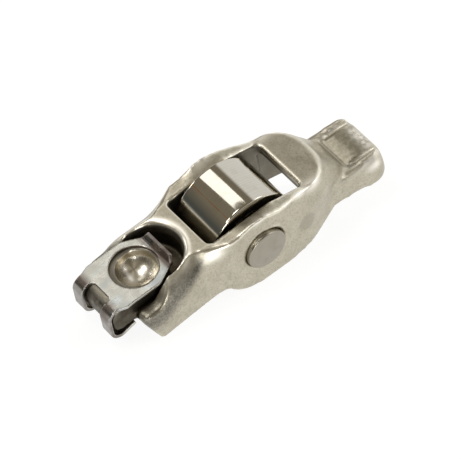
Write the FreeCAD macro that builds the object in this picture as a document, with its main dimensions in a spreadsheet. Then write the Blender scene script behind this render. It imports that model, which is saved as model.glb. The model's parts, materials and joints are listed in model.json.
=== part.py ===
"""Roller finger follower: a cast arm with a ball socket, a needle roller on a staked pin and a valve pad.

Every piece is drawn in the arm's own frame, in millimetres: the origin is the centre of the clip's hole, at
the level of the socket's mouth, +X runs to the valve end, +Y across the arm and +Z out of the socket. Each
piece's Placement then puts the centre of the socket's mouth at the origin and tips the whole arm to the pitch
at which it lies on its roller and on the front feet of its side walls.
"""
import FreeCAD, Part
import math
import os

import Sketcher

SIZES = [
    # roller, pin and needles
    ("pin_x", 20.08, "pin axis from the socket, along the arm"),
    ("pin_z", -4.58, "pin axis below the socket's mouth"),
    ("pin_radius", 3.85, "axle pin"),
    ("pin_proud", 0.45, "pin standing out of each ear"),
    ("pin_rim", 0.35, "bevelled rim of the pin's ends"),
    ("pin_fit", 0.01, "pin to its hole in the ears"),
    ("stake_width", 0.38, "staked hollow round the pin"),
    ("stake_depth", 0.45, "depth of that hollow"),
    ("needle_radius", 0.8, "needle roller"),
    ("needle_gap", 0.03, "least gap between neighbouring needles"),
    ("race_clearance", 0.05, "needle to each raceway"),
    ("roller_radius", 8.4, "cam roller"),
    ("roller_width", 10.36, "cam roller, face to face"),
    ("roller_edge", 0.35, "chamfer on the roller's rims"),
    ("end_play", 0.2, "needles shorter than the roller, in all"),
    # window and side walls
    ("side_play", 0.67, "roller face to each ear"),
    ("front_gap", 0.4, "roller to the window's socket end"),
    ("rear_gap", 2.2, "roller to the window's valve end"),
    ("window_corner", 1.0, "radius in the window's corners"),
    ("ear_half", 9.0, "half the width over the ears"),
    ("crest_inset", 0.45, "tops of the ears narrower than the ears, on each side"),
    ("ear_crest", 2.7, "height of the ears' crest"),
    ("ledge_half", 6.45, "half the width between the raised tops of the ears"),
    ("wall_front", -4.3, "front of the side walls"),
    ("front_corner", 1.2, "plan rounding at the walls' front"),
    ("wall_half", 8.15, "half the width over the side walls"),
    ("wall_end", 8.2, "where the side walls start to widen into the ears"),
    ("wall_blend", 5.0, "plan rounding of that place"),
    ("ear_lead", 0.35, "ears narrower at their front than at their rear, on each side"),
    ("ear_blend", 4.0, "plan rounding at the front of the ears"),
    ("ear_front", 13.6, "front of the ears, seen from above"),
    ("ear_rear", 24.0, "rear of the ears, seen from above"),
    ("shoulder_x", 29.8, "shoulder behind the ears"),
    ("shoulder_blend", 9.0, "plan rounding at the rear of the ears and at the shoulder"),
    ("ramp_x", 15.7, "foot of the ramp up to the ears' crest"),
    ("crest_front", 18.5, "front of the crest"),
    ("crest_rear", 21.2, "rear of the crest"),
    ("saddle_x", 24.8, "low place behind the crest"),
    ("saddle_z", 1.6, "height of that place"),
    ("crown_x", 3.2, "where the walls' front edge reaches the flat"),
    ("heel_x", 15.3, "front of the ears' lowest line"),
    ("heel_rear", 27.6, "rear of that line"),
    ("instep_x", 11.6, "underside between the feet and the ears"),
    ("instep_z", -8.5, "height of that place"),
    ("tail_x", 36.0, "underside where the head meets the valve end"),
    ("tail_z", -11.35, "height of that place"),
    ("wall_crest_half", 5.1, "half the width where the walls reach the flat"),
    ("wall_foot", -9.6, "foot of the side walls"),
    ("wall_foot_x", -1.9, "front of that foot"),
    ("shelf_z", -2.4, "low top of the walls beside the nose"),
    ("flat_z", 1.83, "flat between the socket's bay and the window"),
    ("belly_z", -12.5, "lowest line of the ears"),
    # bay and boss of the ball socket
    ("bay_radius", 5.65, "round end of the bay"),
    ("bay_x", 3.2, "centre of that round end"),
    ("bay_rim", 1.2, "rounding of the bay's rim"),
    ("bay_floor", -3.6, "floor of the bay"),
    ("boss_radius", 4.9, "boss that holds the cup"),
    ("floor_under", -5.2, "underside of the bay's floor and of the nose"),
    ("dome_radius", 5.3, "boss below the floor"),
    ("dome_z", -6.9, "bottom of that boss"),
    ("dome_edge", 1.1, "bevel round that bottom"),
    ("cup_x", 0.5, "socket from the clip's hole, along the arm"),
    ("cup_mouth", 3.6, "radius of the cup's straight mouth"),
    ("seat_radius", 4.1, "ball seat"),
    ("cup_land", 1.2, "depth of that mouth"),
    ("nose_half", 4.75, "half the width of the nose"),
    ("nose_front", -8.75, "front of the nose"),
    ("channel_end", 9.2, "end of the channel under the bay"),
    # head and valve end
    ("head_z", 0.13, "height of the plateau at the window"),
    ("head_radius", 6.6, "plan radius of the plateau's end"),
    ("head_end", 36.7, "end of the plateau"),
    ("web", 2.45, "thickness of the head's top over its hollow"),
    ("hollow_half", 6.3, "half the width of the hollow below the head"),
    ("hollow_x", 32.0, "where the hollow starts to narrow"),
    ("hollow_end", 36.8, "end of the hollow"),
    ("hollow_end_half", 4.9, "half the width of the hollow's end"),
    ("head_edge", 3.95, "half the width of the head where it meets the valve end"),
    ("pad_start", 40.9, "start of the valve pad"),
    ("pad_crest_x", 43.6, "highest line of the pad"),
    ("pad_crest", -7.05, "height of that line"),
    ("pad_radius", 12.0, "curve of the pad along the arm"),
    ("pad_half", 3.35, "half the width of the pad"),
    ("slot_half", 4.05, "half the width between the guides"),
    ("groove_depth", 0.45, "relief grooves below the pad"),
    ("guide_z", -6.75, "top of the guides"),
    ("guide_half", 4.75, "half the width over the tops of the guides"),
    ("guide_end", 47.6, "end of the guides and of the pad"),
    ("relief_x", 42.2, "start of the relief grooves"),
    ("waist_half", 5.8, "half the width of the valve end at its root"),
    ("waist_x", 37.5, "rear of that root"),
    ("waist_blend", 8.0, "plan rounding at the waist"),
    ("tip_half", 6.6, "half the width of the valve end"),
    ("tip_x", 48.3, "end of the arm"),
    ("tip_z", -12.1, "underside of the valve end"),
    ("dimple_x", 28.5, "hardness test mark on the near side, along the arm"),
    ("dimple_z", -6.1, "height of that mark"),
    ("dimple_radius", 1.75, "radius of that mark"),
    ("dimple_depth", 0.2, "depth of that mark"),
    # drawing aid
    ("far", 60.0, "a length that reaches outside every piece"),
    # spring clip
    ("clip_sheet", 0.65, "sheet thickness"),
    ("clip_hole", 4.25, "hole over the cup"),
    ("clip_half", 5.55, "half the width of the clip's plate"),
    ("clip_front", -7.3, "line where the legs leave the plate"),
    ("clip_back", 4.75, "line where the lip leaves the plate"),
    ("notch_half", 2.45, "half the gap between the legs"),
    ("notch_x", -6.7, "bottom of the notch between the legs"),
    ("leg_half", 4.95, "half the width over the legs"),
    ("leg_bend", 1.5, "inner radius of the legs' bends"),
    ("hook_end", -4.5, "tips of the hooks under the nose"),
    ("lip_rise", 1.25, "height of the lip"),
    ("lip_run", 0.75, "slope of the lip, along the arm"),
    ("lip_base_half", 3.8, "half the width of the lip at its bend"),
    ("lip_top_half", 2.65, "half the width of the lip's free edge"),
    ("clip_corner", 0.8, "rounded corners of the clip"),
]

doc = FreeCAD.newDocument("RollerFingerFollower")
sheet = doc.addObject("Spreadsheet::Sheet", "Sizes")
for row, (name, value, meaning) in enumerate(SIZES, start=1):
    sheet.set(f"A{row}", meaning)
    sheet.set(f"B{row}", str(value))
    sheet.setAlias(f"B{row}", name)
doc.recompute()


def size(name):
    """A driving size, read from the sheet."""
    return float(sheet.get(name))


def derive(name, formula):
    """A size that follows from others: it gets a cell and an alias of its own."""
    derive.row += 1
    sheet.set(f"A{derive.row}", "follows from the sizes above")
    sheet.set(f"B{derive.row}", "=" + formula)
    sheet.setAlias(f"B{derive.row}", name)
    doc.recompute()
    return size(name)


derive.row = len(SIZES)

# Sizes that pieces share
race_inner = derive("race_inner", "pin_radius + race_clearance")
race_outer = derive("race_outer", "race_inner + 2 * needle_radius + race_clearance")
needle_orbit = derive("needle_orbit", "race_inner + needle_radius")
window_half = derive("window_half", "roller_width / 2 + side_play")
window_front = derive("window_front", "pin_x - roller_radius - front_gap")
window_rear = derive("window_rear", "pin_x + roller_radius + rear_gap")

# The rest pose: a line from the walls' feet that touches the roller from below
foot_to_pin = math.hypot(size("pin_x") - size("wall_foot_x"), size("pin_z") - size("wall_foot"))
pin_bearing = math.atan2(size("pin_z") - size("wall_foot"), size("pin_x") - size("wall_foot_x"))
pitch = derive("pitch", str(math.degrees(math.asin(size("roller_radius") / foot_to_pin) - pin_bearing)))


def check(feature):
    """Stop at a feature that failed or has no valid shape."""
    doc.recompute()
    failed = any(state in ("Invalid", "Error") for state in feature.State)
    if failed or feature.Shape.isNull() or not feature.Shape.isValid():
        raise RuntimeError(f"{feature.Label} failed: {feature.State}")
    return feature


def new_body(label):
    """A body for one piece, with the socket's mouth at the origin, tipped to the rest pitch."""
    body = doc.addObject("PartDesign::Body", label)
    body.Label = label
    turn = FreeCAD.Rotation(FreeCAD.Vector(0, -1, 0), pitch)
    body.Placement = FreeCAD.Placement(turn.multVec(FreeCAD.Vector(-size("cup_x"), 0, 0)), turn)
    body.setExpression("Placement.Rotation.Angle", "Sizes.pitch")
    body.setExpression("Placement.Base.x", "-Sizes.cup_x * cos(Sizes.pitch)")
    body.setExpression("Placement.Base.z", "-Sizes.cup_x * sin(Sizes.pitch)")
    return body


def plane(body, role):
    """One of the body's own origin planes or axes."""
    return next(item for item in body.Origin.OriginFeatures if item.Role == role)


def new_sketch(body, name, role="XY_Plane", offset=None):
    """A sketch on an origin plane; offset is an expression for its height above the plane."""
    sketch = body.newObject("Sketcher::SketchObject", name)
    sketch.AttachmentSupport = [(plane(body, role), "")]
    sketch.MapMode = "FlatFace"
    if offset is not None:
        sketch.setExpression("AttachmentOffset.Base.z", offset)
    return sketch


def rounded(corners):
    """Lines and tangent arcs of a closed outline; corners holds (x, y, radius) in order."""
    edges = []
    cuts = []
    for index, (x, y, radius) in enumerate(corners):
        here = FreeCAD.Vector(x, y, 0)
        back = FreeCAD.Vector(*corners[index - 1][:2], 0) - here
        ahead = FreeCAD.Vector(*corners[(index + 1) % len(corners)][:2], 0) - here
        half_angle = back.getAngle(ahead) / 2
        if radius <= 0 or abs(half_angle - math.pi / 2) < 1e-6:
            cuts.append((here, here, None))
            continue
        reach = radius / math.tan(half_angle)
        back.normalize()
        ahead.normalize()
        middle = back + ahead
        middle.normalize()
        to_arc = radius / math.sin(half_angle) - radius
        cuts.append((here + back * reach, here + ahead * reach, here + middle * to_arc))
    for index, (start, end, middle) in enumerate(cuts):
        if middle is not None:
            edges.append(Part.Arc(start, middle, end))
        following = cuts[(index + 1) % len(cuts)][0]
        edges.append(Part.LineSegment(end, following))
    return edges


def draw(sketch, *outlines):
    """Put rounded outlines into a sketch."""
    for corners in outlines:
        sketch.addGeometry(rounded(corners), False)
    return sketch


def circle(sketch, radius, x="0", y="0"):
    """A circle whose radius and centre are bound to expressions of the sheet."""
    values = [sheet.evalExpression(text) for text in (x, y, radius)]
    centre = FreeCAD.Vector(float(values[0]), float(values[1]), 0)
    item = sketch.addGeometry(Part.Circle(centre, FreeCAD.Vector(0, 0, 1), float(values[2])), False)
    for kind, text, value in (("DistanceX", x, centre.x), ("DistanceY", y, centre.y)):
        rule = sketch.addConstraint(Sketcher.Constraint(kind, -1, 1, item, 3, value))
        sketch.setExpression(f"Constraints[{rule}]", in_sheet(text))
    rule = sketch.addConstraint(Sketcher.Constraint("Radius", item, float(values[2])))
    sketch.setExpression(f"Constraints[{rule}]", in_sheet(radius))
    return sketch


def in_sheet(text):
    """The same formula, with each size named through the sheet."""
    names = sorted((item[0] for item in SIZES), key=len, reverse=True)
    names += ["race_inner", "race_outer", "needle_orbit", "window_half", "window_front", "window_rear"]
    words = text.replace("(", " ( ").replace(")", " ) ").split()
    return " ".join("Sizes." + word if word in names else word for word in words)


def mirrored_outline(half):
    """A closed outline from its +Y half, given from the socket end to the valve end."""
    return half + [(x, -y, radius) for x, y, radius in reversed(half)]


def pad(body, sketch, length=None, both_sides=False, upwards=True):
    """Pad a sketch by an expression."""
    feature = body.newObject("PartDesign::Pad", "Pad" + sketch.Name)
    feature.Profile = sketch
    feature.SideType = "Symmetric" if both_sides else "One side"
    feature.Reversed = not upwards
    feature.setExpression("Length", in_sheet(length))
    return check(feature)


def pocket(body, sketch, length=None, both_sides=False, upwards=False):
    """Cut a sketch by an expression, or right through where no length is given."""
    volume = body.Tip.Shape.Volume
    feature = body.newObject("PartDesign::Pocket", "Cut" + sketch.Name)
    feature.Profile = sketch
    feature.SideType = "Symmetric" if both_sides else "One side"
    feature.Reversed = upwards
    if length is None:
        feature.Type = "ThroughAll"
    else:
        feature.setExpression("Length", in_sheet(length))
    check(feature)
    if feature.Shape.Volume > volume - 1e-3:
        raise RuntimeError(f"{feature.Label} cuts nothing")
    return feature


def loft(body, sketches, name):
    """Loft through sections, given from the top down."""
    feature = body.newObject("PartDesign::AdditiveLoft", name)
    feature.Profile = sketches[0]
    feature.Sections = sketches[1:]
    feature.Ruled = False
    return check(feature)


def groove_out(body, sketch):
    """Turn a sketch right round its own first line, and cut with it."""
    axis = sketch.Geometry[0]
    sketch.addGeometry(Part.LineSegment(axis.StartPoint, axis.EndPoint), True)
    doc.recompute()
    volume = body.Tip.Shape.Volume
    feature = body.newObject("PartDesign::Groove", "Turn" + sketch.Name)
    feature.Profile = sketch
    feature.ReferenceAxis = (sketch, [f"Axis{construction_lines(sketch) - 1}"])
    feature.Angle = 360
    check(feature)
    if feature.Shape.Volume > volume - 1e-3:
        raise RuntimeError(f"{feature.Label} cuts nothing")
    return feature


def construction_lines(sketch):
    """How many construction lines a sketch holds."""
    return sum(sketch.getConstruction(index) for index in range(len(sketch.Geometry)))


def fillet(body, radius, chosen, name, kind="Fillet"):
    """Round or chamfer the edges of the body's tip that the test chooses."""
    tip = body.Tip
    names = [f"Edge{number}" for number, edge in enumerate(tip.Shape.Edges, start=1) if chosen(edge)]
    if not names:
        raise RuntimeError(f"{name} finds no edge")
    feature = body.newObject(f"PartDesign::{kind}", name)
    feature.Base = (tip, names)
    feature.setExpression("Radius" if kind == "Fillet" else "Size", in_sheet(radius))
    return check(feature)


def is_rim(edge):
    """Whether an edge is a whole circle."""
    return edge.isClosed()


def head_section(body, name, height, wall, ear, shoulder, end_x, end_half, end_round):
    """One level of the arm's main form, seen from above."""
    half = [
        (size("wall_front"), wall, size("front_corner")),
        (size("wall_end"), wall, size("wall_blend")),
        (size("ear_front"), ear - size("ear_lead"), size("ear_blend")),
        (size("ear_rear"), ear, size("shoulder_blend")),
        (size("shoulder_x"), shoulder, size("shoulder_blend")),
        (end_x, end_half, end_round),
    ]
    return draw(new_sketch(body, name, offset=in_sheet(height)), mirrored_outline(half))


def tongue_section(body, name, height, root, tip, end_x, end_round):
    """One level of the valve end, seen from above."""
    half = [
        (size("head_end") - 3.7, root, 0.5),
        (size("waist_x"), root, size("waist_blend")),
        (end_x, tip, end_round),
    ]
    return draw(new_sketch(body, name, offset=in_sheet(height)), mirrored_outline(half))


def make_arm():
    """The cast arm."""
    body = new_body("arm")
    ear = size("ear_half")
    crest = ear - size("crest_inset")
    wall = size("wall_half")
    wall_crest = size("wall_crest_half")
    head = size("head_radius")
    end = size("head_end")
    edge = size("head_edge")

    # Main form: levels from above the crest down to the feet
    low_end = size("pad_start")
    levels = [
        ("LevelCrest", "ear_crest + 0.4", wall_crest - 0.8, crest, 6.6, end - 1.8, head - 1.0, 5.4),
        ("LevelFlat", "flat_z + 0.1", wall_crest, crest, 6.8, end - 1.0, head - 0.4, 6.0),
        ("LevelHead", "0", wall_crest + 1.8, crest + 0.3, 7.3, end, head, head - 0.3),
        ("LevelPin", "pin_z + 1", wall, ear, 8.3, end + 1.8, head - 0.6, 4.5),
        ("LevelPad", "pad_crest", wall, ear, 8.5, low_end, edge, 2.5),
        ("LevelFeet", "wall_foot", wall, ear, 8.4, low_end, edge, 2.5),
        ("LevelBelly", "belly_z - 1", wall, ear, 8.3, low_end, edge, 2.5),
    ]
    loft(body, [head_section(body, *level) for level in levels], "MainForm")

    # Valve end: a tongue that widens downwards
    waist = size("waist_half")
    tip = size("tip_half")
    tip_x = size("tip_x")
    tongue = [
        tongue_section(body, "TongueTop", "guide_z", waist, size("guide_half"), size("guide_end"), 1.8),
        tongue_section(body, "TongueMiddle", "guide_z - 2", waist, tip - 0.4, tip_x - 0.2, 3.0),
        tongue_section(body, "TongueFoot", "tip_z - 1", waist, tip, tip_x, 3.2),
    ]
    loft(body, tongue, "Tongue")

    # Side view: everything outside this outline is cut away
    far = size("far")
    outer = [(-far, far, 0), (far, far, 0), (far, -far, 0), (-far, -far, 0)]
    flat = size("flat_z")
    shelf = size("shelf_z")
    foot = size("wall_foot")
    belly = size("belly_z")
    front = size("wall_front")
    crest_z = size("ear_crest")
    past_tip = tip_x + 2
    side = [
        (front, shelf, 0.8),
        (size("crown_x") - 4.1, shelf + 0.1, 2.2),
        (size("crown_x"), flat, 2.6),
        (size("ramp_x"), flat, 1.6),
        (size("crest_front"), crest_z, 1.2),
        (size("crest_rear"), crest_z, 2.2),
        (size("saddle_x"), size("saddle_z"), 6.0),
        (window_rear, size("head_z"), 5.0),
        (past_tip, size("head_z") - 1.85, 0),
        (past_tip, size("tip_z"), 0),
        (size("pad_crest_x"), size("tip_z"), 5.0),
        (size("tail_x"), size("tail_z"), 8.0),
        (size("heel_rear"), belly + 0.1, 12.0),
        (size("heel_x"), belly, 7.0),
        (size("instep_x"), size("instep_z"), 1.8),
        (size("wall_foot_x"), foot, 1.2),
        (front, foot + 5.4, 3.0),
    ]
    trim = draw(new_sketch(body, "SideView", "XZ_Plane"), outer, side)
    pocket(body, trim, "4 * ear_half", both_sides=True)

    # Window for the roller
    window = [
        (window_front, window_half, size("window_corner")),
        (window_rear, window_half, size("window_corner")),
    ]
    hole = draw(new_sketch(body, "Window", offset="Sizes.ear_crest + 5"), mirrored_outline(window))
    pocket(body, hole)

    # Ledge along the inner edge of each ear, level with the flat
    ledge = [(size("ear_front") - 3, size("ledge_half"), 0), (size("ear_rear") + 1, size("ledge_half"), 0)]
    cut = draw(new_sketch(body, "Ledge", offset="Sizes.flat_z"), mirrored_outline(ledge))
    pocket(body, cut, "far", upwards=True)

    # Hollow below the head, open to the window
    hollow = [
        (window_rear - 0.5, size("hollow_half"), 0),
        (size("hollow_x"), size("hollow_half"), 3.0),
        (size("hollow_end"), size("hollow_end_half"), 2.0),
    ]
    cut = draw(new_sketch(body, "Hollow", offset="Sizes.head_z - Sizes.web"), mirrored_outline(hollow))
    pocket(body, cut, "far")

    # Bay round the socket, open to the nose
    bay = size("bay_radius")
    bay_x = size("bay_x")
    half = [(-far, bay, 0), (bay_x + bay, bay, bay - 0.01)]
    cut = draw(new_sketch(body, "Bay", offset="Sizes.bay_floor"), mirrored_outline(half))
    pocket(body, cut, "far", upwards=True)

    # Rounded rim of the bay's end: the flat runs down into it
    rim = size("bay_rim")
    inside = bay_x + bay
    slope = rim * math.cos(math.pi / 4)
    rim_cut = [
        Part.LineSegment(FreeCAD.Vector(bay_x, flat + 2, 0), FreeCAD.Vector(bay_x, flat - rim, 0)),
        Part.LineSegment(FreeCAD.Vector(bay_x, flat - rim, 0), FreeCAD.Vector(inside, flat - rim, 0)),
        Part.Arc(
            FreeCAD.Vector(inside, flat - rim, 0),
            FreeCAD.Vector(inside + rim - slope, flat - rim + slope, 0),
            FreeCAD.Vector(inside + rim, flat, 0),
        ),
        Part.LineSegment(FreeCAD.Vector(inside + rim, flat, 0), FreeCAD.Vector(inside + rim, flat + 2, 0)),
        Part.LineSegment(FreeCAD.Vector(inside + rim, flat + 2, 0), FreeCAD.Vector(bay_x, flat + 2, 0)),
    ]
    groove_out(body, draw_shape(new_sketch(body, "BayRim", "XZ_Plane"), rim_cut))

    # Channel under the bay's floor
    under = [(-far, bay, 0), (size("channel_end"), bay, 2.0)]
    cut = draw(new_sketch(body, "Channel", offset="Sizes.floor_under"), mirrored_outline(under))
    pocket(body, cut, "far")

    # Nose, boss and dome of the ball socket
    under_z = size("floor_under")
    nose_x = size("nose_front")
    nose = [
        (nose_x, 0, 2.3),
        (nose_x + 0.4, under_z, 1.4),
        (bay_x, under_z, 0),
        (bay_x, under_z + 1, 0),
        (0, under_z + 1, 0),
        (0, 0, 0),
    ]
    pad(body, draw(new_sketch(body, "Nose", "XZ_Plane"), nose), "2 * nose_half", both_sides=True)
    boss = circle(new_sketch(body, "Boss", offset="Sizes.dome_z"), "boss_radius", "cup_x")
    pad(body, boss, "0 - dome_z")
    dome = circle(new_sketch(body, "Dome", offset="Sizes.dome_z"), "dome_radius", "cup_x")
    pad(body, dome, "bay_floor - dome_z - 0.5")
    fillet(body, "dome_edge", lambda edge: at_height(edge, size("dome_z")), "DomeEdge", "Chamfer")

    # Cup: a straight mouth over a hollow ball seat
    cup_x = size("cup_x")
    mouth = size("cup_mouth")
    land = size("cup_land")
    seat_radius = size("seat_radius")
    seat_z = math.sqrt(seat_radius**2 - mouth**2) - land
    half_turn = math.asin(mouth / seat_radius) / 2
    bottom = FreeCAD.Vector(cup_x, seat_z - seat_radius, 0)
    half_way = FreeCAD.Vector(
        cup_x + seat_radius * math.sin(half_turn), seat_z - seat_radius * math.cos(half_turn), 0
    )
    edge = FreeCAD.Vector(cup_x + mouth, -land, 0)
    above = FreeCAD.Vector(cup_x + mouth, 1, 0)
    axis_top = FreeCAD.Vector(cup_x, 1, 0)
    cup = draw_shape(
        new_sketch(body, "Cup", "XZ_Plane"),
        [
            Part.LineSegment(axis_top, bottom),
            Part.Arc(bottom, half_way, edge),
            Part.LineSegment(edge, above),
            Part.LineSegment(above, axis_top),
        ],
    )
    groove_out(body, cup)

    # Slot for the valve stem over the pad's curve, with a relief groove beside each guide
    pad_z = size("pad_crest")
    slot = draw_shape(new_sketch(body, "Slot", "XZ_Plane"), pad_profile(size("pad_start"), pad_z))
    pocket(body, slot, "2 * slot_half", both_sides=True)
    for side, name in ((1, "ReliefFar"), (-1, "ReliefNear")):
        relief = new_sketch(body, name, "XZ_Plane", offset=f"{-side} * Sizes.pad_half")
        draw_shape(relief, pad_profile(size("relief_x"), pad_z - size("groove_depth")))
        pocket(body, relief, "slot_half - pad_half", upwards=side < 0)

    # Hardness test mark on the near side
    mark_x = size("dimple_x")
    radius = size("dimple_radius")
    depth = size("dimple_depth")
    surface = near_skin(body, mark_x, size("dimple_z"))
    bottom = FreeCAD.Vector(mark_x, surface + depth, 0)
    outside = FreeCAD.Vector(mark_x, surface - 2, 0)
    side_y = surface - 2 * depth
    edge_x = mark_x + 1.7 * radius
    mark = [
        Part.LineSegment(outside, bottom),
        Part.Arc(bottom, FreeCAD.Vector(mark_x + radius, surface, 0), FreeCAD.Vector(edge_x, side_y, 0)),
        Part.LineSegment(FreeCAD.Vector(edge_x, side_y, 0), FreeCAD.Vector(edge_x, surface - 2, 0)),
        Part.LineSegment(FreeCAD.Vector(edge_x, surface - 2, 0), outside),
    ]
    groove_out(body, draw_shape(new_sketch(body, "HardnessMark", offset="Sizes.dimple_z"), mark))

    # Holes for the pin, with the staked hollows round their mouths
    hole = circle(new_sketch(body, "PinHole", "XZ_Plane"), "pin_radius + pin_fit", "pin_x", "pin_z")
    pocket(body, hole, "4 * ear_half", both_sides=True)
    for side, name in ((1, "StakeFar"), (-1, "StakeNear")):
        offset = f"{-side} * (Sizes.ear_half - Sizes.stake_depth)"
        sketch = new_sketch(body, name, "XZ_Plane", offset=offset)
        circle(sketch, "pin_radius + stake_width", "pin_x", "pin_z")
        pocket(body, sketch, "far", upwards=side < 0)
    return body


def near_skin(body, x, z):
    """Where the near side of a body's form lies, at a place in the side view."""
    across = Part.makeLine(FreeCAD.Vector(x, -size("far"), z), FreeCAD.Vector(x, 0, z))
    return across.common(body.Tip.Shape).BoundBox.YMin


def at_height(edge, height):
    """Whether an edge lies level at a height."""
    box = edge.BoundBox
    return abs(box.ZMin - height) < 1e-4 and abs(box.ZMax - height) < 1e-4


def pad_profile(start_x, crest_z):
    """Side outline of what is cut away above the pad's curve, with its crest at crest_z."""
    radius = size("pad_radius")
    crest_x = size("pad_crest_x")
    end_x = crest_x + 0.8 * radius

    def on_curve(x):
        return FreeCAD.Vector(x, crest_z - radius + math.sqrt(radius**2 - (x - crest_x) ** 2), 0)

    first = on_curve(start_x)
    last = on_curve(end_x)
    over_end = FreeCAD.Vector(end_x, 0, 0)
    over_start = FreeCAD.Vector(start_x, 0, 0)
    return [
        Part.Arc(first, on_curve((start_x + end_x) / 2), last),
        Part.LineSegment(last, over_end),
        Part.LineSegment(over_end, over_start),
        Part.LineSegment(over_start, first),
    ]


def draw_shape(sketch, edges):
    """Put ready lines and arcs into a sketch."""
    sketch.addGeometry(edges, False)
    return sketch


def make_pin():
    """The axle pin, staked at both ends."""
    body = new_body("axle_pin")
    sketch = circle(new_sketch(body, "PinSection", "XZ_Plane"), "pin_radius", "pin_x", "pin_z")
    pad(body, sketch, "2 * (ear_half + pin_proud)", both_sides=True)
    fillet(body, "pin_rim", is_rim, "PinRim", "Chamfer")
    return body


def make_roller():
    """The outer ring that runs on the cam."""
    body = new_body("roller")
    sketch = new_sketch(body, "RollerSection", "XZ_Plane")
    circle(sketch, "roller_radius", "pin_x", "pin_z")
    circle(sketch, "race_outer", "pin_x", "pin_z")
    pad(body, sketch, "roller_width", both_sides=True)
    fillet(body, "roller_edge", is_rim, "RollerEdge", "Chamfer")
    return body


def make_needles():
    """The full ring of needles between the pin and the roller, as many as fit."""
    spacing = 2 * math.asin((2 * size("needle_radius") + size("needle_gap")) / (2 * needle_orbit))
    count = int(2 * math.pi / spacing)
    needles = []
    for number in range(count):
        angle = 2 * math.pi * number / count
        body = new_body(f"needle_{number + 1:02d}")
        sketch = new_sketch(body, f"Needle{number + 1}", "XZ_Plane")
        x = f"pin_x + needle_orbit * {math.cos(angle):.12f}"
        z = f"pin_z + needle_orbit * {math.sin(angle):.12f}"
        circle(sketch, "needle_radius", x, z)
        pad(body, sketch, "roller_width - end_play", both_sides=True)
        needles.append(body)
    return needles


def strip(corners, thickness):
    """Outline of bent sheet; corners holds the (x, z, inner radius) of its middle line."""
    left = []
    right = []
    last = len(corners) - 1
    for index, (x, z, radius) in enumerate(corners):
        here = FreeCAD.Vector(x, z, 0)
        before = here - FreeCAD.Vector(*corners[max(index - 1, 0)][:2], 0)
        after = FreeCAD.Vector(*corners[min(index + 1, last)][:2], 0) - here
        if index == 0:
            before = after
        if index == last:
            after = before
        before.normalize()
        after.normalize()
        normal = FreeCAD.Vector(-(before.y + after.y), before.x + after.x, 0)
        normal.normalize()
        across = normal * (thickness / 2 / normal.dot(FreeCAD.Vector(-before.y, before.x, 0)))
        turns_left = before.x * after.y - before.y * after.x > 0
        inner, outer = (radius, radius + thickness) if radius else (0, 0)
        left.append((*(here + across)[:2], inner if turns_left else outer))
        right.append((*(here - across)[:2], outer if turns_left else inner))
    return left + right[::-1]


def make_clip():
    """The sheet steel clip that holds the arm on the lash adjuster's ball."""
    body = new_body("retaining_clip")
    sheet_z = size("clip_sheet")
    front = size("clip_front")
    back = size("clip_back")
    half_width = size("clip_half")
    leg = size("leg_half")
    lip = size("lip_base_half")
    plate = [
        (front, leg, 0),
        (front + 1.6, half_width, 1.0),
        (1.4, half_width, 1.5),
        (back, lip, 0.3),
    ]
    sketch = draw(new_sketch(body, "Plate"), mirrored_outline(plate))
    circle(sketch, "clip_hole")
    pad(body, sketch, "clip_sheet")

    # Lip: turned up at the back, narrower at its free edge
    middle = sheet_z / 2
    lip_top = (back + size("lip_run"), size("lip_rise") + sheet_z, 0)
    rise = [(back - 0.4, middle, 0), (back + 0.1, middle, 0.3), lip_top]
    sketch = draw(new_sketch(body, "Lip", "XZ_Plane"), strip(rise, sheet_z))
    pad(body, sketch, "2 * lip_base_half", both_sides=True)

    slope = size("lip_base_half") - size("lip_top_half")
    high = size("lip_rise") + 2 * sheet_z
    taper = [(lip, sheet_z, 0), (lip + 2, sheet_z, 0), (lip + 2, high, 0), (lip - slope, high, 0)]
    other = [(-y, z, 0) for y, z, _ in reversed(taper)]
    pocket(body, draw(new_sketch(body, "LipTaper", "YZ_Plane"), taper, other), "far", upwards=True)

    # Legs: down in front of the nose and back under it as hooks
    bend = size("leg_bend")
    outer_x = size("nose_front") - sheet_z / 2 - 0.05
    low = size("floor_under") - 1.75
    legs = [
        (front + 0.6, middle, 0),
        (outer_x, middle, bend),
        (outer_x, low, bend),
        (size("hook_end"), size("floor_under") - middle - 0.1, 0),
    ]
    sketch = draw(new_sketch(body, "Legs", "XZ_Plane"), strip(legs, sheet_z))
    pad(body, sketch, "2 * leg_half", both_sides=True)
    gap = size("notch_half")
    far = size("far")
    notch = [(-far, gap, 0), (size("notch_x"), gap, size("clip_corner"))]
    cut = draw(new_sketch(body, "Notch", offset="-Sizes.far"), mirrored_outline(notch))
    pocket(body, cut, "2 * far", upwards=True)
    parting = [(-far, gap, 0), (back, gap, 0)]
    cut = draw(new_sketch(body, "Parting", offset="-Sizes.far"), mirrored_outline(parting))
    pocket(body, cut, "far + floor_under", upwards=True)
    return body


def make_pieces():
    """Every piece of the follower."""
    return [make_arm(), make_pin(), make_roller(), make_clip(), *make_needles()]


def write(pieces):
    """Write one file for each piece."""
    os.makedirs("parts", exist_ok=True)
    for piece in pieces:
        check(piece)
        if len(piece.Shape.Solids) != 1:
            raise RuntimeError(f"{piece.Label} has {len(piece.Shape.Solids)} solids")
        piece.Shape.exportStep(f"parts/{piece.Label}.step")
        print(f"{piece.Label}: {piece.Shape.Volume:.1f} mm3")


write(make_pieces())
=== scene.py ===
"""Roller finger follower: its finishes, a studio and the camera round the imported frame.

Lengths are metres in the frame's own axes: +X runs to the valve end, +Y across the arm and +Z up.
The arm and the clip get rounded edges, the pin, roller and needles are turned anew, and every metal
is a node material.
"""

import json
import math

import bpy
import numpy as np
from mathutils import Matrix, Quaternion, Vector


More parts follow.
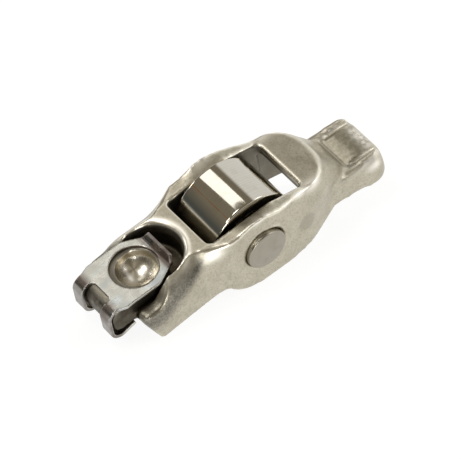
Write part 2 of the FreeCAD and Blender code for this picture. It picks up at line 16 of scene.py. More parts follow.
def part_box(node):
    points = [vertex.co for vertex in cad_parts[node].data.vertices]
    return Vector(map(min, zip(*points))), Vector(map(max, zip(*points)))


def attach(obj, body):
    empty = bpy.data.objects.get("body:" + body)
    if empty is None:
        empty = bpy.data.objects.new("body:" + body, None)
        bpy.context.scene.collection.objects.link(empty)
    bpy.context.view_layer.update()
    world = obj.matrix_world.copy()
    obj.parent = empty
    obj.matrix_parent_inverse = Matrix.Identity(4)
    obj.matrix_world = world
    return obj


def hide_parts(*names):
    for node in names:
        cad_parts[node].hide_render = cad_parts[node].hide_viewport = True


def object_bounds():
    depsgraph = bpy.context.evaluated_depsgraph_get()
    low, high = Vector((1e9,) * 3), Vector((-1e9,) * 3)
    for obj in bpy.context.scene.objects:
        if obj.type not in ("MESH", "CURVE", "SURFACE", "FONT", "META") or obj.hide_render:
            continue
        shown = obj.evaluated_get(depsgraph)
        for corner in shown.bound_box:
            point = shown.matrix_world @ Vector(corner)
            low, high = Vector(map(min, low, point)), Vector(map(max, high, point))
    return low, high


MM = 0.001
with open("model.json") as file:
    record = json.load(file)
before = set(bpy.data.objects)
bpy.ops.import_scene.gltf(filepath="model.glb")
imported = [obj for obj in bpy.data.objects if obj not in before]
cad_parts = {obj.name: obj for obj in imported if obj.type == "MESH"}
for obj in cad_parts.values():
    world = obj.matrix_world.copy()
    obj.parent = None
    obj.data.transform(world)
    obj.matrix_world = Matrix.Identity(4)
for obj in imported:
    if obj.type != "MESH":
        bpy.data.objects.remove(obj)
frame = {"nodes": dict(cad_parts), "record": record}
cad_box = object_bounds()


def mm(*values):
    """Millimetres in metres."""
    return tuple(value * MM for value in values)


# Places read from the frame
PIN_LOW, PIN_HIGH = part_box("axle_pin")
ROLLER_LOW, ROLLER_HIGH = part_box("roller")
AXLE = (ROLLER_LOW + ROLLER_HIGH) / 2
ROLLER_RADIUS = (ROLLER_HIGH.x - ROLLER_LOW.x) / 2
ROLLER_HALF = (ROLLER_HIGH.y - ROLLER_LOW.y) / 2
PIN_RADIUS = (PIN_HIGH.x - PIN_LOW.x) / 2
PIN_HALF = (PIN_HIGH.y - PIN_LOW.y) / 2
SOCKET = next(item for item in frame["record"]["mounts"] if item["name"] == "pivot_socket")
SOCKET_CENTRE = Vector(SOCKET["pos_m"])
ARM_UP = Vector(SOCKET["axis"]).normalized()
ARM_ALONG = Vector((ARM_UP.z, 0, -ARM_UP.x))

# Fineness of the meshes, rounds of smoothing, and how far an edge stands out for full wear and painted
# highlight
CAD_WELD = 0.002 * MM
TURNED_WELD = 0.0005 * MM
CAST_VOXEL = 0.214 * MM
CLIP_VOXEL = 0.1 * MM
CAST_ROUNDS = 5
CAST_KEEP = 0.35
SOFT_ROUNDS = 30
CLIP_ROUNDS = 3
CLIP_KEEP = 0.3
SPREAD_ROUNDS = 3
EVEN_ROUNDS = 2
CAST_EDGE_HEIGHT = 0.04 * MM
CLIP_EDGE_HEIGHT = 0.022 * MM

# Places on the arm, in its own axes from the socket; a pair holds where a share is 0 and where it is 1
CUP_RIM = 4.2 * MM
CUP_EDGE = 0.25 * MM
CUP_START = 0.15 * MM
CUP_DEPTH = 4.2 * MM
CUP_LAND = 1.35 * MM
SEAT_RADIUS = 4.1 * MM
SEAT_UP = 0.76 * MM
SEAT_REACH = 0.35 * MM
BAY_RADIUS = 5.75 * MM
BAY_ALONG = 2.7 * MM
BAY_EDGE = 0.3 * MM
BAY_UP = mm(0.5, -0.7)
BOSS_RADIUS = 4.8 * MM
WINDOW_HALF = 5.95 * MM
WINDOW_START = mm(10.7, 10.8)
WINDOW_END = mm(30.1, 30.0)
FLAT_UP = 1.83 * MM
FLAT_EDGE = (FLAT_UP - 0.2 * MM, FLAT_UP - 1.0 * MM)
HOLLOW_ALONG = np.array([31.5, 35.5]) * MM
HOLLOW_HALF = np.array([6.45, 5.2]) * MM
HOLLOW_START = mm(29.8, 29.9)
HOLLOW_UP = mm(-0.9, -1.5)
HOLLOW_SHADE = 0.72
LAND_START = mm(3.45, 3.6)
LAND_MARGIN = 0.3 * MM
LAND_LOW = mm(-1.3, -1.1)
LAND_HIGH = mm(0.8, 0.7)
LAND_SHADE = 0.8

# How dark the window's walls are at two places along the arm
WINDOW_ALONG = mm(20, 25)
WINDOW_SHADE = (1.0, 0.72)

# The ears: their tops at places along the arm, their outer edge, the ledge's edge and the skin that moves
EAR_ALONG = np.array([14.9, 18.0, 20.7, 24.3, 25.2]) * MM
EAR_UP = np.array([1.83, 2.7, 2.7, 1.6, 1.45]) * MM
EAR_EDGE = 8.4 * MM
LEDGE_EDGE = 6.85 * MM
EAR_SKIN = 0.15 * MM

# The soft places of the casting: beside the bay, the valve end's root, the head and the ends of the guides
SHOULDER_UP = mm(-7.5, -6.0)
BESIDE_ACROSS = mm(5.9, 6.6)
BESIDE_ALONG = mm(13.5, 11.5)
ROOT_START = mm(34.6, 35.8)
ROOT_END = mm(40.6, 39.6)
ROOT_UP = mm(-7.8, -6.6)
HEAD_ALONG = mm(27.0, 29.5)
HEAD_ACROSS = mm(6.7, 7.4)
GUIDE_START = mm(38.8, 39.6)
GUIDE_END = mm(43.0, 42.0)
GUIDE_ACROSS = mm(3.5, 4.1)

# Patches of painted sheen in mm: each centre along, across and up, and its reach in the same order
PAINTED_SHEEN_PATCHES = (
    ((19.5, 7.7, 2.6), (1.5, 1.6, 0.7)),
    ((10.6, 7.6, 0.6), (2.1, 0.9, 0.95)),
    ((29.0, 7.3, 0.3), (1.4, 0.7, 0.7)),
    ((31.7, 6.6, -0.2), (2.2, 1.1, 1.1)),
    ((44.0, 4.4, -7.4), (3.4, 1.1, 0.7)),
    ((45.0, 5.9, -8.3), (1.7, 0.6, 0.9)),
    ((46.4, 0.0, -7.5), (1.0, 3.3, 0.8)),
    ((-8.6, 0.0, -2.2), (0.9, 3.6, 2.6)),
)

# Painted sheen along the rim of the bay
RIM_REACH = 6.7 * MM
RIM_UP = 1.5 * MM
RIM_WIDTH = 0.45 * MM
RIM_HEIGHT = 0.7 * MM
RIM_START = mm(-2.0, 1.0)

# Painted shade below the bay's rim, a band on the walls' shoulders: its middle and half height at places
# along the arm
SHOULDER_SHADE_ALONG = np.array([-1.0, 1.5, 5.0, 8.0, 10.0]) * MM
SHOULDER_SHADE_UP = np.array([-4.0, -2.3, -1.3, 0.4, 1.0]) * MM
SHOULDER_SHADE_HALF = np.array([2.4, 2.1, 1.3, 0.7, 0.4]) * MM
SHOULDER_SHADE_ACROSS = mm(6.2, 6.8)
SHOULDER_SHADE_END = mm(10.5, 8.5)

# Painted reflection in the ball seat: its bright lobes
STAR_ALONG = 0.3 * MM
STAR_ACROSS = 1.9 * MM
STAR_ANGLE = math.radians(40)
STAR_LOBES = 4

# Where edges are worn and carry a painted highlight, with the least of both elsewhere
WORN_HIGHLIT_UP = mm(-1.6, -0.6)
WORN_HIGHLIT_ALONG = mm(38.0, 37.0)
WORN_HIGHLIT_LEAST = 0.25

# The valve pad: where it starts, its side edges, and how level its face is
PAD_ALONG = 40.4 * MM
PAD_START = (PAD_ALONG, PAD_ALONG + 0.4 * MM)
PAD_HALF = 3.4 * MM
PAD_EDGE = (PAD_HALF + 0.2 * MM, PAD_HALF)
PAD_LEVEL = (0.8, 0.9)

# The hardness test's mark, and the margin that stays crisp round it
MARK_ALONG = 28.5 * MM
MARK_UP = -6.1 * MM
MARK_RADIUS = 1.75 * MM
MARK_EDGE = (MARK_RADIUS + 0.1 * MM, MARK_RADIUS - 0.2 * MM)
MARK_MARGIN = 0.8 * MM

# The clip: its hole, whose wall gets painted shade, and its bends in front and behind
CLIP_HOLE = 4.25 * MM
CLIP_HOLE_BACK = 0.5 * MM
CLIP_HOLE_SHADE = (CLIP_HOLE + 0.12 * MM, CLIP_HOLE + 0.02 * MM)
CLIP_FRONT = mm(-7.0, -8.2)
CLIP_LIP = mm(3.1, 3.7)
FRONT_BROWN = 0.9

# The turned pieces: the ring's wall, the rounding of edges, a needle's sides, and the painted reflection
# line along the rim
ROLLER_WALL = 2.85 * MM
ROLLER_RIM = 0.38 * MM
BORE_RIM = 0.3 * MM
PIN_RIM = 0.4 * MM
NEEDLE_SIDES = 24
NEEDLE_SHARP = math.radians(35)
REFLECTION_LINE_ANGLE = math.radians(34.5)
REFLECTION_LINE_HALF = 0.08 * MM

# The photograph's view
CAMERA_TARGET = Vector((19.43, 0, -4.42)) * MM
CAMERA_DISTANCE = 853 * MM
CAMERA_AZIMUTH = math.radians(-37.88)
CAMERA_ELEVATION = math.radians(48.65)
CAMERA_ROLL = math.radians(-0.34)
CAMERA_LENS = 401.5
SENSOR_WIDTH = 36.0

# The studio: the floor, the dark part of the surround and the soft boxes
FLOOR_HALF = 4.0
FLOOR_COLOUR = (0.9, 0.9, 0.89, 1)
FLOOR_GLOW = 1.12
FLOOR_GLOW_SHARE = 0.8
WHITE = (1, 1, 1)
DARK_LOW = (0.10, 0.105, 0.10)
DARK_HIGH = (0.25, 0.22, 0.17)
SOFTBOX_DISTANCE = 0.6

# Each soft box: its name, direction from the arm, width and height as shares of its distance, and power
SOFTBOXES = (
    ("softbox_back", (0, 0.53, 0.82), 0.45, 0.24, 0.22),
    ("softbox_front", (-0.42, -0.88, 0.17), 0.4, 0.2, 0.8),
    ("softbox_top", (-0.3, 0.2, 0.93), 0.26, 0.26, 0.5),
    ("softbox_left", (-0.66, 0.10, 0.74), 0.34, 0.2, 0.5),
    ("softbox_far", (-0.42, 0.80, 0.43), 0.26, 0.16, 0.3),
    ("softbox_side", (0.62, -0.52, 0.58), 0.26, 0.26, 0.3),
)

# Tones of the casting
CAST_DARK = (0.45, 0.415, 0.325)
CAST_LIGHT = (0.55, 0.51, 0.41)
CAST_SPECKLE = (0.27, 0.245, 0.185)
CAST_PAD = (0.33, 0.305, 0.235)
CAST_MARK = (0.335, 0.31, 0.245)
# Worn edges with a painted highlight, painted shade in corners and on the walls' shoulders, and painted
# sheen
CAST_WORN_HIGHLIGHT = (0.92, 0.87, 0.74)
CAST_CORNER_SHADE = (0.13, 0.11, 0.08)
CAST_SHOULDER_SHADE = (0.13, 0.12, 0.10)
CAST_PAINTED_SHEEN = (0.97, 0.93, 0.83)
CAST_RECESS = (0.065, 0.053, 0.036)
# Painted reflection in the ball seat: its dull and bright lobes
SEAT_REFLECTION_DULL = (0.50, 0.46, 0.38)
SEAT_REFLECTION_BRIGHT = (1.0, 0.96, 0.86)

# How much the worn edges and their painted highlight show, how much of the painted sheen the pad's mottle
# hides, and how calm the cup's surface is
WORN_HIGHLIGHT_SHARE = 0.8
MOTTLE_SHARE = 0.7
CUP_CALM = 0.8

# Tones of the clip
SPRING_DARK = (0.41, 0.405, 0.36)
SPRING_LIGHT = (0.49, 0.485, 0.44)
SPRING_COOL = (0.38, 0.43, 0.46)
SPRING_WARM = (0.47, 0.42, 0.38)
# Browned bends, and painted shade on the wall of the hole
SPRING_BROWN_AND_HOLE_SHADE = (0.155, 0.125, 0.11)
# Painted highlight on the clip's edges
SPRING_EDGE_HIGHLIGHT = (0.80, 0.78, 0.72)

# Strength and height of each bump
CAST_WAVES = (0.5, 0.03 * MM)
CAST_GRAIN = (0.7, 0.014 * MM)
TURNED_MARKS = (0.25, 0.004 * MM)
ROLLED_MARKS = (0.2, 0.006 * MM)

# Ranges of a noise's values: most of them, and patches
MOST = (0.3, 0.7)
PATCHES = (0.35, 0.6)


# Meshes
def link(name, data):
    """A new object for a mesh, a lens or a light, in the scene."""
    item = bpy.data.objects.new(name, data)
    bpy.context.scene.collection.objects.link(item)
    return item


def applied(item):
    """Turn an object's modifiers into its mesh."""
    graph = bpy.context.evaluated_depsgraph_get()
    mesh = bpy.data.meshes.new_from_object(item.evaluated_get(graph))
    item.modifiers.clear()
    item.data = mesh
    return item


def welded(item, distance):
    """Join the points that lie closer than a distance."""
    weld = item.modifiers.new("Weld", "WELD")
    weld.merge_threshold = distance
    return applied(item)


def copy_of(node, name):
    """A welded copy of a CAD node's mesh, as an object of its own."""
    mesh = frame["nodes"][node].data.copy()
    mesh.materials.clear()
    return welded(link(name, mesh), CAD_WELD)


def remeshed(item, voxel):
    """Even quads over the whole surface."""
    remesh = item.modifiers.new("Remesh", "REMESH")
    remesh.mode = "VOXEL"
    remesh.voxel_size = voxel
    return applied(item)


def points_of(mesh):
    """A mesh's points as an array."""
    values = np.empty(len(mesh.vertices) * 3)
    mesh.vertices.foreach_get("co", values)
    return values.reshape(-1, 3)


def normals_of(mesh):
    """A mesh's point normals as an array."""
    values = np.empty(len(mesh.vertices) * 3)
    mesh.vertex_normals.foreach_get("vector", values)
    return values.reshape(-1, 3)


def edges_of(mesh):
    """A mesh's edges as pairs of point numbers."""
    values = np.empty(len(mesh.edges) * 2, dtype=np.int64)
    mesh.edges.foreach_get("vertices", values)
    return values.reshape(-1, 2)


def neighbour_mean(values, edges):
    """The mean over each point's neighbours."""
    total = np.zeros_like(values)
    count = np.zeros(len(values))
    for a, b in ((0, 1), (1, 0)):
        np.add.at(total, edges[:, a], values[edges[:, b]])
        np.add.at(count, edges[:, a], 1)
    return total / (count[:, None] if values.ndim > 1 else count)


def smooth(mesh, rounds, keep=0.0, share=1.0):
    """A mesh's points with its edges rounded.

    Each round moves the points half way to their neighbours' mean, times their share, and then a part
    of that way back, which keep sets.
    """
    edges = edges_of(mesh)
    points = points_of(mesh)
    weight = 0.5 * np.reshape(share, (-1, 1))
    for _ in range(rounds):
        points = points + weight * (neighbour_mean(points, edges) - points)
        if keep > 0:
            points = points - keep * weight * (neighbour_mean(points, edges) - points)
    return points


def write_points(mesh, points):
    """Give a mesh new points."""
    mesh.vertices.foreach_set("co", points.ravel())
    mesh.update()


def shade_smooth(mesh):
    """Smooth shading on every face."""
    mesh.polygons.foreach_set("use_smooth", np.ones(len(mesh.polygons), dtype=bool))


def write_attributes(mesh, shares):
    """Numbers for each point, under the names that the materials read."""
    for name, values in shares.items():
        item = mesh.attributes.new(name, "FLOAT", "POINT")
        item.data.foreach_set("value", values.astype(np.float32))


def edge_relief(mesh, height):
    """1 on outer edges that stand out of their surroundings by a height, and -1 in corners as deep."""
    edges = edges_of(mesh)
    points = points_of(mesh)
    mean = points
    for _ in range(SPREAD_ROUNDS):
        mean = neighbour_mean(mean, edges)
    values = ((points - mean) * normals_of(mesh)).sum(axis=1)
    for _ in range(EVEN_ROUNDS):
        values = 0.5 * values + 0.5 * neighbour_mean(values, edges)
    return np.clip(values / height, -1, 1)


def turned(name, profile, segments):
    """A closed ring or a solid of revolution about the axle; profile holds (radius, y), and loops back."""
    rings = len(profile)
    angles = np.linspace(0, 2 * math.pi, segments, endpoint=False)
    points = [
        (AXLE.x + radius * math.sin(angle), AXLE.y + y, AXLE.z + radius * math.cos(angle))
        for angle in angles
        for radius, y in profile
    ]
    faces = []
    for turn in range(segments):
        here = turn * rings
        after = ((turn + 1) % segments) * rings
        for ring in range(rings):
            ahead = (ring + 1) % rings
            faces.append((here + ring, here + ahead, after + ahead, after + ring))
    mesh = bpy.data.meshes.new(name)
    mesh.from_pydata(points, [], faces)
    item = welded(link(name, mesh), TURNED_WELD)
    shade_smooth(item.data)
    return item


def rounded_profile(corners, steps):
    """A turned profile with its corners rounded; corners holds (radius, y, rounding)."""
    profile = []
    for index, (radius, y, rounding) in enumerate(corners):
        here = Vector((radius, y))
        if rounding == 0:
            profile.append(tuple(here))
            continue
        back = (Vector(corners[index - 1][:2]) - here).normalized() * rounding
        ahead = (Vector(corners[(index + 1) % len(corners)][:2]) - here).normalized() * rounding
        for step in range(steps + 1):
            share = step / steps
            profile.append(tuple(here + back * (1 - share) ** 2 + ahead * share**2))
    return profile


# Shader nodes
def new_material(name):
    """A metal with its plain shader; returns the material, its nodes, its links and the shader."""
    material = bpy.data.materials.new(name)
    material.use_nodes = True
    nodes = material.node_tree.nodes
    shader = nodes["Principled BSDF"]
    shader.inputs["Metallic"].default_value = 1.0
    return material, nodes, material.node_tree.links, shader


def place(nodes, links, stretch=(1, 1, 1), centre=(0, 0, 0)):
    """Object coordinates from a centre, scaled along each axis."""
    coordinates = nodes.new("ShaderNodeTexCoord")
    mapping = nodes.new("ShaderNodeMapping")
    mapping.inputs["Location"].default_value = [-c * s for c, s in zip(centre, stretch)]
    mapping.inputs["Scale"].default_value = stretch
    links.new(coordinates.outputs["Object"], mapping.inputs["Vector"])
    return mapping.outputs["Vector"]


def noise(nodes, links, vector, scale, detail=3.0, roughness=0.55):
    """Noise of a scale, as a number from 0 to 1."""
    node = nodes.new("ShaderNodeTexNoise")
    node.inputs["Scale"].default_value = scale
    node.inputs["Detail"].default_value = detail
    node.inputs["Roughness"].default_value = roughness
    links.new(vector, node.inputs["Vector"])
    return node.outputs["Fac"]


def ramp(nodes, links, value, start, end, to=(0.0, 1.0)):
    """A number taken from the range start to end to another range, and kept inside it."""
    node = nodes.new("ShaderNodeMapRange")
    node.inputs["From Min"].default_value = start
    node.inputs["From Max"].default_value = end
    node.inputs["To Min"].default_value = to[0]
    node.inputs["To Max"].default_value = to[1]
    links.new(value, node.inputs["Value"])
    return node.outputs["Result"]


def blend(nodes, links, share, first, second):
    """A colour mixed from two, each a colour or a socket."""
    node = nodes.new("ShaderNodeMix")
    node.data_type = "RGBA"
    links.new(share, node.inputs["Factor"])
    for name, value in (("A", first), ("B", second)):
        socket = next(item for item in node.inputs if item.name == name and item.type == "RGBA")
        if isinstance(value, tuple):
            socket.default_value = (*value, 1)
        else:
            links.new(value, socket)
    return next(item for item in node.outputs if item.type == "RGBA")


def maths(nodes, links, operation, *values):
    """One operation on numbers or sockets."""
    node = nodes.new("ShaderNodeMath")
    node.operation = operation
    for socket, value in zip(node.inputs, values):
        if isinstance(value, (int, float)):
            socket.default_value = value
        else:
            links.new(value, socket)
    return node.outputs[0]


def product(nodes, links, first, second):
    """Two numbers or sockets multiplied."""
    return maths(nodes, links, "MULTIPLY", first, second)


def remainder(nodes, links, value):
    """1 less a socket's value."""
    return maths(nodes, links, "SUBTRACT", 1.0, value)


def attribute(nodes, name):
    """A number that the mesh carries."""
    node = nodes.new("ShaderNodeAttribute")
    node.attribute_name = name
    return node.outputs["Fac"]


def add_bump(nodes, links, shader, heights):
    """Chain bumps into the shader; heights holds (socket, strength, distance)."""
    below = None
    for height, strength, distance in heights:
        node = nodes.new("ShaderNodeBump")
        node.inputs["Strength"].default_value = strength
        node.inputs["Distance"].default_value = distance
        links.new(height, node.inputs["Height"])
        if below is not None:
            links.new(below, node.inputs["Normal"])
        below = node.outputs["Normal"]
    links.new(below, shader.inputs["Normal"])


# Materials
def cast_steel():
    """Tumbled cast steel: warm grey, finely grained, bright on its worn edges with a painted highlight, and
    polished in the cup.
    """
    material, nodes, links, shader = new_material("cast_steel_tumbled")
    plain = place(nodes, links)
    cloud = noise(nodes, links, plain, scale=420, detail=5.0, roughness=0.65)
    speckle = noise(nodes, links, plain, scale=3000, roughness=0.7)
    mottle = noise(nodes, links, plain, scale=1400, roughness=0.6)
    mottle = ramp(nodes, links, mottle, 0.4, 0.6, to=(0.3, 1.0))
    # Worn edges, which also carry a painted highlight
    worn_highlight = ramp(nodes, links, attribute(nodes, "edge"), 0.12, 0.7)
    tone = cast_skin(nodes, links, cloud, speckle)
    tone = cast_prints(nodes, links, tone, cloud, mottle)
    tone = cast_wear_and_painted_light(nodes, links, tone, worn_highlight, speckle, mottle)
    tone = cast_depths(nodes, links, tone, cloud)
    links.new(tone, shader.inputs["Base Color"])
    links.new(cast_roughness(nodes, links, cloud, worn_highlight), shader.inputs["Roughness"])
    add_bump(nodes, links, shader, cast_bumps(nodes, links, plain))
    return material


def cast_skin(nodes, links, cloud, speckle):
    """The casting's own tone, clouded and finely speckled."""
    tone = blend(nodes, links, ramp(nodes, links, cloud, 0.36, 0.64), CAST_DARK, CAST_LIGHT)
    return blend(nodes, links, ramp(nodes, links, speckle, 0.48, 0.68, to=(0, 0.6)), tone, CAST_SPECKLE)


def cast_prints(nodes, links, tone, cloud, mottle):
    """The mottled valve pad and the pressed hardness mark, over a tone."""
    tone = blend(nodes, links, product(nodes, links, attribute(nodes, "pad"), mottle), tone, CAST_PAD)
    pressed = ramp(nodes, links, cloud, *PATCHES, to=(0.4, 0.9))
    pressed = product(nodes, links, attribute(nodes, "mark"), pressed)
    return blend(nodes, links, pressed, tone, CAST_MARK)


def cast_wear_and_painted_light(nodes, links, tone, worn_highlight, speckle, mottle):
    """Worn edges with a painted highlight, painted shade in corners and on the walls' shoulders, and
    painted sheen patches, over a tone.
    """
    # Worn edges, brightened by a painted highlight
    tone = blend(nodes, links, product(nodes, links, worn_highlight, WORN_HIGHLIGHT_SHARE), tone, CAST_WORN_HIGHLIGHT)
    # Painted shade in concave corners
    corner = ramp(nodes, links, attribute(nodes, "edge"), -0.9, -0.15, to=(0.6, 0))
    tone = blend(nodes, links, corner, tone, CAST_CORNER_SHADE)
    # Painted shade: a dark band on the walls' shoulders
    painted_shoulder_shade = ramp(nodes, links, speckle, *PATCHES, to=(0.6, 0.95))
    painted_shoulder_shade = product(nodes, links, attribute(nodes, "painted_shoulder_shade"), painted_shoulder_shade)
    tone = blend(nodes, links, painted_shoulder_shade, tone, CAST_SHOULDER_SHADE)
    # Painted sheen on patches, less where the pad is mottled
    mottled = product(nodes, links, mottle, MOTTLE_SHARE)
    mottled = product(nodes, links, attribute(nodes, "pad"), mottled)
    painted_sheen = product(nodes, links, attribute(nodes, "painted_sheen"), remainder(nodes, links, mottled))
    return blend(nodes, links, painted_sheen, tone, CAST_PAINTED_SHEEN)


def cast_depths(nodes, links, tone, cloud):
    """Dirt and shade in the recesses, and the painted reflection of bright lobes in the polished cup, over
    a tone.
    """
    shade = ramp(nodes, links, cloud, *PATCHES, to=(0.84, 1.0))
    shade = product(nodes, links, attribute(nodes, "recess"), shade)
    tone = blend(nodes, links, shade, tone, CAST_RECESS)
    # Painted reflection: bright lobes in the polished ball seat
    seat_reflection = blend(nodes, links, attribute(nodes, "star_reflection"), SEAT_REFLECTION_DULL, SEAT_REFLECTION_BRIGHT)
    return blend(nodes, links, attribute(nodes, "polish_and_reflection"), tone, seat_reflection)


def cast_roughness(nodes, links, cloud, worn_highlight):
    """How rough the casting is: less on worn edges, in the cup and on the pad, and more in the recesses."""
    rough = ramp(nodes, links, cloud, *MOST, to=(0.33, 0.43))
    for share, change in (
        (worn_highlight, -0.08),
        (attribute(nodes, "polish_and_reflection"), -0.10),
        (attribute(nodes, "recess"), 0.12),
        (attribute(nodes, "pad"), -0.06),
    ):
        rough = maths(nodes, links, "ADD", rough, product(nodes, links, share, change))
    return rough


def cast_bumps(nodes, links, plain):
    """The casting's waves and grain, which are low in the polished cup; returns its bumps."""
    calm = remainder(nodes, links, product(nodes, links, attribute(nodes, "polish_and_reflection"), CUP_CALM))
    waves = noise(nodes, links, plain, scale=700, detail=2.0)
    grain = noise(nodes, links, plain, scale=5200, roughness=0.6)
    return [
        (product(nodes, links, waves, calm), *CAST_WAVES),
        (product(nodes, links, grain, calm), *CAST_GRAIN),
    ]


def turned_steel(name, tones, rough, lines, stain, reflection_line=None):
    """Ground or turned steel: fine marks run round the axle, and a painted reflection line can run along
    the rim.
    """
    material, nodes, links, shader = new_material(name)
    centred = place(nodes, links, centre=AXLE)
    parts = nodes.new("ShaderNodeSeparateXYZ")
    links.new(centred, parts.inputs["Vector"])
    marks = noise(nodes, links, round_axle(nodes, links, parts), scale=lines, detail=4.0, roughness=0.7)
    cloud = noise(nodes, links, centred, scale=420)
    tone = blend(nodes, links, ramp(nodes, links, marks, 0.35, 0.65), *tones)
    tone = blend(nodes, links, ramp(nodes, links, cloud, 0.52, 0.75, to=(0, 0.5)), tone, stain)
    # Painted reflection: a thin line along the rim
    if reflection_line:
        broken = ramp(nodes, links, cloud, 0.4, 0.6, to=(0.4, 0.9))
        line = product(nodes, links, reflection_line_share(nodes, links, parts), broken)
        tone = blend(nodes, links, line, tone, reflection_line)
    links.new(tone, shader.inputs["Base Color"])
    links.new(ramp(nodes, links, cloud, *MOST, to=rough), shader.inputs["Roughness"])
    add_bump(nodes, links, shader, [(marks, *TURNED_MARKS)])
    return material


def round_axle(nodes, links, parts):
    """A place by its distance from the axle and its place along it, so that noise runs round the axle."""
    squares = [product(nodes, links, parts.outputs[axis], parts.outputs[axis]) for axis in ("X", "Z")]
    radius = maths(nodes, links, "SQRT", maths(nodes, links, "ADD", *squares))
    track = nodes.new("ShaderNodeCombineXYZ")
    links.new(radius, track.inputs["X"])
    links.new(parts.outputs["Y"], track.inputs["Y"])
    return track.outputs["Vector"]


def reflection_line_share(nodes, links, parts):
    """Painted reflection: 1 on a thin straight line along the roller's rim, at a set angle from its top."""
    along_rim = [
        product(nodes, links, parts.outputs["X"], math.cos(REFLECTION_LINE_ANGLE)),
        product(nodes, links, parts.outputs["Z"], math.sin(REFLECTION_LINE_ANGLE)),
    ]
    away = maths(nodes, links, "ABSOLUTE", maths(nodes, links, "ADD", *along_rim))
    share = ramp(nodes, links, away, REFLECTION_LINE_HALF * 0.5, REFLECTION_LINE_HALF * 1.5, to=(1, 0))
    upper = maths(nodes, links, "GREATER_THAN", parts.outputs["Z"], 0.0)
    return product(nodes, links, share, upper)


def ground_steel():
    """The roller's ground steel, bright, with a painted reflection as a thin brown line along its rim."""
    return turned_steel(
        "steel_ground",
        tones=((0.52, 0.49, 0.42), (0.60, 0.57, 0.50)),
        rough=(0.05, 0.10),
        lines=5000,
        stain=(0.45, 0.42, 0.35),
        reflection_line=(0.62, 0.33, 0.13),
    )


def pin_steel():
    """The pin's turned steel, darker and duller than the roller."""
    return turned_steel(
        "steel_turned",
        tones=((0.325, 0.30, 0.245), (0.35, 0.325, 0.265)),
        rough=(0.26, 0.36),
        lines=4200,
        stain=(0.26, 0.23, 0.18),
    )


def needle_steel():
    """The needles' polished steel, the palest."""
    return turned_steel(
        "steel_needle",
        tones=((0.60, 0.59, 0.57), (0.70, 0.69, 0.66)),
        rough=(0.08, 0.14),
        lines=6000,
        stain=(0.50, 0.48, 0.44),
    )


def spring_steel():
    """Rolled spring steel: pale and cool on the flats, browned by its heat treatment at the bends; the
    hole's wall has painted shade.
    """
    material, nodes, links, shader = new_material("spring_steel_rolled")
    rolled_way = place(nodes, links, stretch=(0.12, 1, 1))
    rolled = noise(nodes, links, rolled_way, scale=3600, detail=4.0, roughness=0.6)
    cloud = noise(nodes, links, place(nodes, links), scale=380)
    tint = noise(nodes, links, place(nodes, links, stretch=(0.25, 1, 1)), scale=700, detail=2.0)
    tone = blend(nodes, links, ramp(nodes, links, rolled, *MOST), SPRING_DARK, SPRING_LIGHT)
    tone = blend(nodes, links, ramp(nodes, links, tint, 0.5, 0.7, to=(0, 0.55)), tone, SPRING_COOL)
    tone = blend(nodes, links, ramp(nodes, links, tint, 0.3, 0.45, to=(0.4, 0)), tone, SPRING_WARM)
    # Browned bends, and painted shade on the wall of the hole
    browned_and_shaded = ramp(nodes, links, cloud, *PATCHES, to=(0.6, 1.0))
    browned_and_shaded = product(nodes, links, attribute(nodes, "browning_and_hole_shade"), browned_and_shaded)
    tone = blend(nodes, links, browned_and_shaded, tone, SPRING_BROWN_AND_HOLE_SHADE)
    # Painted highlight on the edges, away from the browned and shaded parts
    edge = ramp(nodes, links, attribute(nodes, "edge"), 0.3, 0.8, to=(0, 0.55))
    edge = product(nodes, links, edge, remainder(nodes, links, browned_and_shaded))
    tone = blend(nodes, links, edge, tone, SPRING_EDGE_HIGHLIGHT)
    links.new(tone, shader.inputs["Base Color"])
    links.new(ramp(nodes, links, cloud, *MOST, to=(0.22, 0.34)), shader.inputs["Roughness"])
    add_bump(nodes, links, shader, [(rolled, *ROLLED_MARKS)])
    return material


# Places on the arm and the clip
def arm_axes(points):
    """Points along, across and up in the arm's own axes, from the socket."""
    off = points - np.array(SOCKET_CENTRE)
    return off @ np.array(ARM_ALONG), off[:, 1], off @ np.array(ARM_UP)


def step_up(values, low, high):
    """0 below low and 1 above high; the other way round where high is the lower."""
    return np.clip((values - low) / (high - low), 0, 1)


def within(*steps):
    """The product of several steps, each given as values and their two limits."""
    share = 1.0
    for values, limits in steps:
        share = share * step_up(values, *limits)
    return share


def cup_shape(points):
    """Put the ball seat's points back on its true surface; returns the points and the polished share, which
    also holds a painted reflection.
    """
    along, across, up = arm_axes(points)
    distance = np.hypot(along, across)
    polish_and_reflection = step_up(distance, CUP_RIM, CUP_RIM - CUP_EDGE) * (up < -CUP_START) * (up > -CUP_DEPTH)
    seat = np.array(SOCKET_CENTRE + ARM_UP * SEAT_UP)
    to_seat = points - seat
    reach = np.linalg.norm(to_seat, axis=1)
    on_seat = (polish_and_reflection > 0) & (up < -CUP_LAND) & (abs(reach - SEAT_RADIUS) < SEAT_REACH)
    points[on_seat] = seat + to_seat[on_seat] / reach[on_seat, None] * SEAT_RADIUS
    return points, polish_and_reflection


def slope_ears(points):
    """Let the ears' tops slope from the window's edge up to their outer edge; returns the points."""
    along, across, up = arm_axes(points)
    outer = np.interp(along, EAR_ALONG, EAR_UP)
    inner = np.minimum(outer, FLAT_UP)
    share = step_up(abs(across), WINDOW_HALF, EAR_EDGE)
    target = inner + (outer - inner) * share
    on_ears = (along > EAR_ALONG[0]) & (along < EAR_ALONG[-1]) & (abs(across) > WINDOW_HALF)
    near_top = on_ears & (up > inner - EAR_SKIN)
    on_ledge = near_top & (abs(across) < LEDGE_EDGE)
    move = np.where(on_ledge | (near_top & (up > target)), target - up, 0)
    return points + np.outer(move, np.array(ARM_UP))


